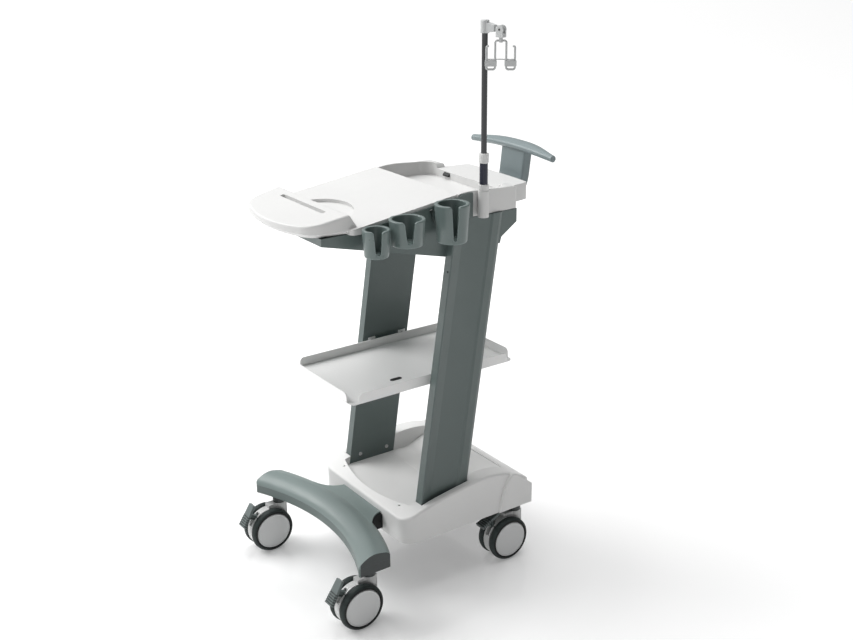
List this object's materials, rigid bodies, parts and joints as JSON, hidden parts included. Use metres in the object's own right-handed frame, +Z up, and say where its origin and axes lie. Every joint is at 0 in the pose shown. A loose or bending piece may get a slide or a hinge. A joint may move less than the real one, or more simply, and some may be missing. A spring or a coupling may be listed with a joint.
{
  "type": "ultrasound machine trolley",
  "caption": "Mobile trolley for a portable ultrasound machine, with palm rest, side transducer cups, cable hanger, shelf, push handle and twin-wheel brake casters.",
  "frame": {"origin": "on the floor, under the middle of the bounding box", "axes": "+Z up, -Y towards the user at the palm rest, +X towards the user's right"},
  "size_m": [0.444, 0.6404, 1.1885],
  "materials": {
    "white_plastic": "satin",
    "frame_steel": "matte",
    "foot_plastic": "satin",
    "foot_casting": "satin",
    "black_rubber": "matte",
    "grey_green_paint": "satin",
    "shelf_paint": "satin",
    "black_plastic": "matte",
    "cup_plastic": "satin",
    "light_grey_plastic": "satin",
    "wire_steel": "satin",
    "navy_plastic": "satin",
    "chrome": "polished",
    "handle_plastic": "satin",
    "screw_steel": "satin",
    "collar_steel": "satin",
    "caster_grey": "satin",
    "pedal_grey": "satin",
    "wheel_grey": "satin",
    "tyre_rubber": "matte"
  },
  "bodies": {
    "trolley": {"base_shell": "white_plastic", "base_pan": "white_plastic", "base_rear_cover": "white_plastic", "base_chassis": "frame_steel", "foot_arm_cover": "foot_plastic", "foot_beam": "foot_casting", "foot_seal": "black_rubber", "pillar_left": "grey_green_paint", "pillar_right": "grey_green_paint", "frame_screws": "screw_steel", "shelf": "shelf_paint", "under_frame": "grey_green_paint", "table_top": "white_plastic", "rear_block": "white_plastic", "holder_rail": "grey_green_paint", "cup_small": "cup_plastic", "cup_medium": "cup_plastic", "cup_large": "cup_plastic", "pole_socket": "white_plastic", "pole_sleeve": "navy_plastic", "pole_collar": "white_plastic", "handle_bar": "handle_plastic", "handle_stalk": "handle_plastic", "caster_stems": "collar_steel"},
    "pole_head": {"pole": "chrome", "head_bracket": "light_grey_plastic", "hinge_pin": "screw_steel"},
    "hanger_fork": {"swivel_block": "light_grey_plastic"},
    "hanger": {"swivel_eye": "wire_steel", "wire_hanger": "wire_steel", "hanger_clips": "light_grey_plastic"},
    "latch_slider": {"latch": "black_plastic"},
    "caster_front_left_swivel": {"caster_front_left_housing": "caster_grey", "caster_front_left_axle": "screw_steel"},
    "caster_front_left_brake": {"caster_front_left_pedal": "pedal_grey"},
    "caster_front_left_wheel_left": {"caster_front_left_hub_left": "wheel_grey", "caster_front_left_tyre_left": "tyre_rubber"},
    "caster_front_left_wheel_right": {"caster_front_left_hub_right": "wheel_grey", "caster_front_left_tyre_right": "tyre_rubber"},
    "caster_front_right_swivel": {"caster_front_right_housing": "caster_grey", "caster_front_right_axle": "screw_steel"},
    "caster_front_right_brake": {"caster_front_right_pedal": "pedal_grey"},
    "caster_front_right_wheel_left": {"caster_front_right_hub_left": "wheel_grey", "caster_front_right_tyre_left": "tyre_rubber"},
    "caster_front_right_wheel_right": {"caster_front_right_hub_right": "wheel_grey", "caster_front_right_tyre_right": "tyre_rubber"},
    "caster_rear_left_swivel": {"caster_rear_left_housing": "caster_grey", "caster_rear_left_axle": "screw_steel"},
    "caster_rear_left_brake": {"caster_rear_left_pedal": "black_plastic"},
    "caster_rear_left_wheel_left": {"caster_rear_left_hub_left": "wheel_grey", "caster_rear_left_tyre_left": "tyre_rubber"},
    "caster_rear_left_wheel_right": {"caster_rear_left_hub_right": "wheel_grey", "caster_rear_left_tyre_right": "tyre_rubber"},
    "caster_rear_right_swivel": {"caster_rear_right_housing": "caster_grey", "caster_rear_right_axle": "screw_steel"},
    "caster_rear_right_brake": {"caster_rear_right_pedal": "black_plastic"},
    "caster_rear_right_wheel_left": {"caster_rear_right_hub_left": "wheel_grey", "caster_rear_right_tyre_left": "tyre_rubber"},
    "caster_rear_right_wheel_right": {"caster_rear_right_hub_right": "wheel_grey", "caster_rear_right_tyre_right": "tyre_rubber"}
  },
  "joints": [
    {"name": "caster_front_left_swivel_turn", "type": "hinge", "parent": "trolley", "child": "caster_front_left_swivel", "pos_m": [-0.19, -0.222, 0.1], "axis": [0, 0, 1], "continuous": true},
    {"name": "caster_front_left_wheel_left_spin", "type": "hinge", "parent": "caster_front_left_swivel", "child": "caster_front_left_wheel_left", "pos_m": [-0.19, -0.253, 0.05], "axis": [1, 0, 0], "continuous": true},
    {"name": "caster_front_left_wheel_right_spin", "type": "hinge", "parent": "caster_front_left_swivel", "child": "caster_front_left_wheel_right", "pos_m": [-0.19, -0.253, 0.05], "axis": [1, 0, 0], "continuous": true},
    {"name": "caster_front_left_brake_press", "type": "hinge", "parent": "caster_front_left_swivel", "child": "caster_front_left_brake", "pos_m": [-0.19, -0.283, 0.083], "axis": [1, 0, 0], "range_deg": [-35, 0]},
    {"name": "caster_front_right_swivel_turn", "type": "hinge", "parent": "trolley", "child": "caster_front_right_swivel", "pos_m": [0.19, -0.222, 0.1], "axis": [0, 0, 1], "continuous": true},
    {"name": "caster_front_right_wheel_left_spin", "type": "hinge", "parent": "caster_front_right_swivel", "child": "caster_front_right_wheel_left", "pos_m": [0.19, -0.253, 0.05], "axis": [1, 0, 0], "continuous": true},
    {"name": "caster_front_right_wheel_right_spin", "type": "hinge", "parent": "caster_front_right_swivel", "child": "caster_front_right_wheel_right", "pos_m": [0.19, -0.253, 0.05], "axis": [1, 0, 0], "continuous": true},
    {"name": "caster_front_right_brake_press", "type": "hinge", "parent": "caster_front_right_swivel", "child": "caster_front_right_brake", "pos_m": [0.19, -0.283, 0.083], "axis": [1, 0, 0], "range_deg": [-35, 0]},
    {"name": "caster_rear_left_swivel_turn", "type": "hinge", "parent": "trolley", "child": "caster_rear_left_swivel", "pos_m": [-0.154, 0.187, 0.1], "axis": [0, 0, 1], "continuous": true},
    {"name": "caster_rear_left_wheel_left_spin", "type": "hinge", "parent": "caster_rear_left_swivel", "child": "caster_rear_left_wheel_left", "pos_m": [-0.154, 0.156, 0.05], "axis": [1, 0, 0], "continuous": true},
    {"name": "caster_rear_left_wheel_right_spin", "type": "hinge", "parent": "caster_rear_left_swivel", "child": "caster_rear_left_wheel_right", "pos_m": [-0.154, 0.156, 0.05], "axis": [1, 0, 0], "continuous": true},
    {"name": "caster_rear_left_brake_press", "type": "hinge", "parent": "caster_rear_left_swivel", "child": "caster_rear_left_brake", "pos_m": [-0.154, 0.126, 0.083], "axis": [1, 0, 0], "range_deg": [0, 35]},
    {"name": "caster_rear_right_swivel_turn", "type": "hinge", "parent": "trolley", "child": "caster_rear_right_swivel", "pos_m": [0.154, 0.187, 0.1], "axis": [0, 0, 1], "continuous": true},
    {"name": "caster_rear_right_wheel_left_spin", "type": "hinge", "parent": "caster_rear_right_swivel", "child": "caster_rear_right_wheel_left", "pos_m": [0.154, 0.156, 0.05], "axis": [1, 0, 0], "continuous": true},
    {"name": "caster_rear_right_wheel_right_spin", "type": "hinge", "parent": "caster_rear_right_swivel", "child": "caster_rear_right_wheel_right", "pos_m": [0.154, 0.156, 0.05], "axis": [1, 0, 0], "continuous": true},
    {"name": "caster_rear_right_brake_press", "type": "hinge", "parent": "caster_rear_right_swivel", "child": "caster_rear_right_brake", "pos_m": [0.154, 0.126, 0.083], "axis": [1, 0, 0], "range_deg": [0, 35]},
    {"name": "pole_turn", "type": "hinge", "parent": "trolley", "child": "pole_head", "pos_m": [0.162, 0.087, 0.9], "axis": [0, 0, 1], "continuous": true},
    {"name": "hanger_tilt", "type": "hinge", "parent": "pole_head", "child": "hanger_fork", "pos_m": [0.19805, 0.09734, 1.173], "axis": [0.2756, -0.9613, 0], "range_deg": [0, 60]},
    {"name": "hanger_swivel", "type": "hinge", "parent": "hanger_fork", "child": "hanger", "pos_m": [0.19805, 0.09734, 1.16], "axis": [0, 0, 1], "continuous": true},
    {"name": "latch_slide", "type": "slide", "parent": "trolley", "child": "latch_slider", "axis": [0, 1, 0], "range_m": [0, 0.005], "stiffness_N_per_m": 200}
  ]
}
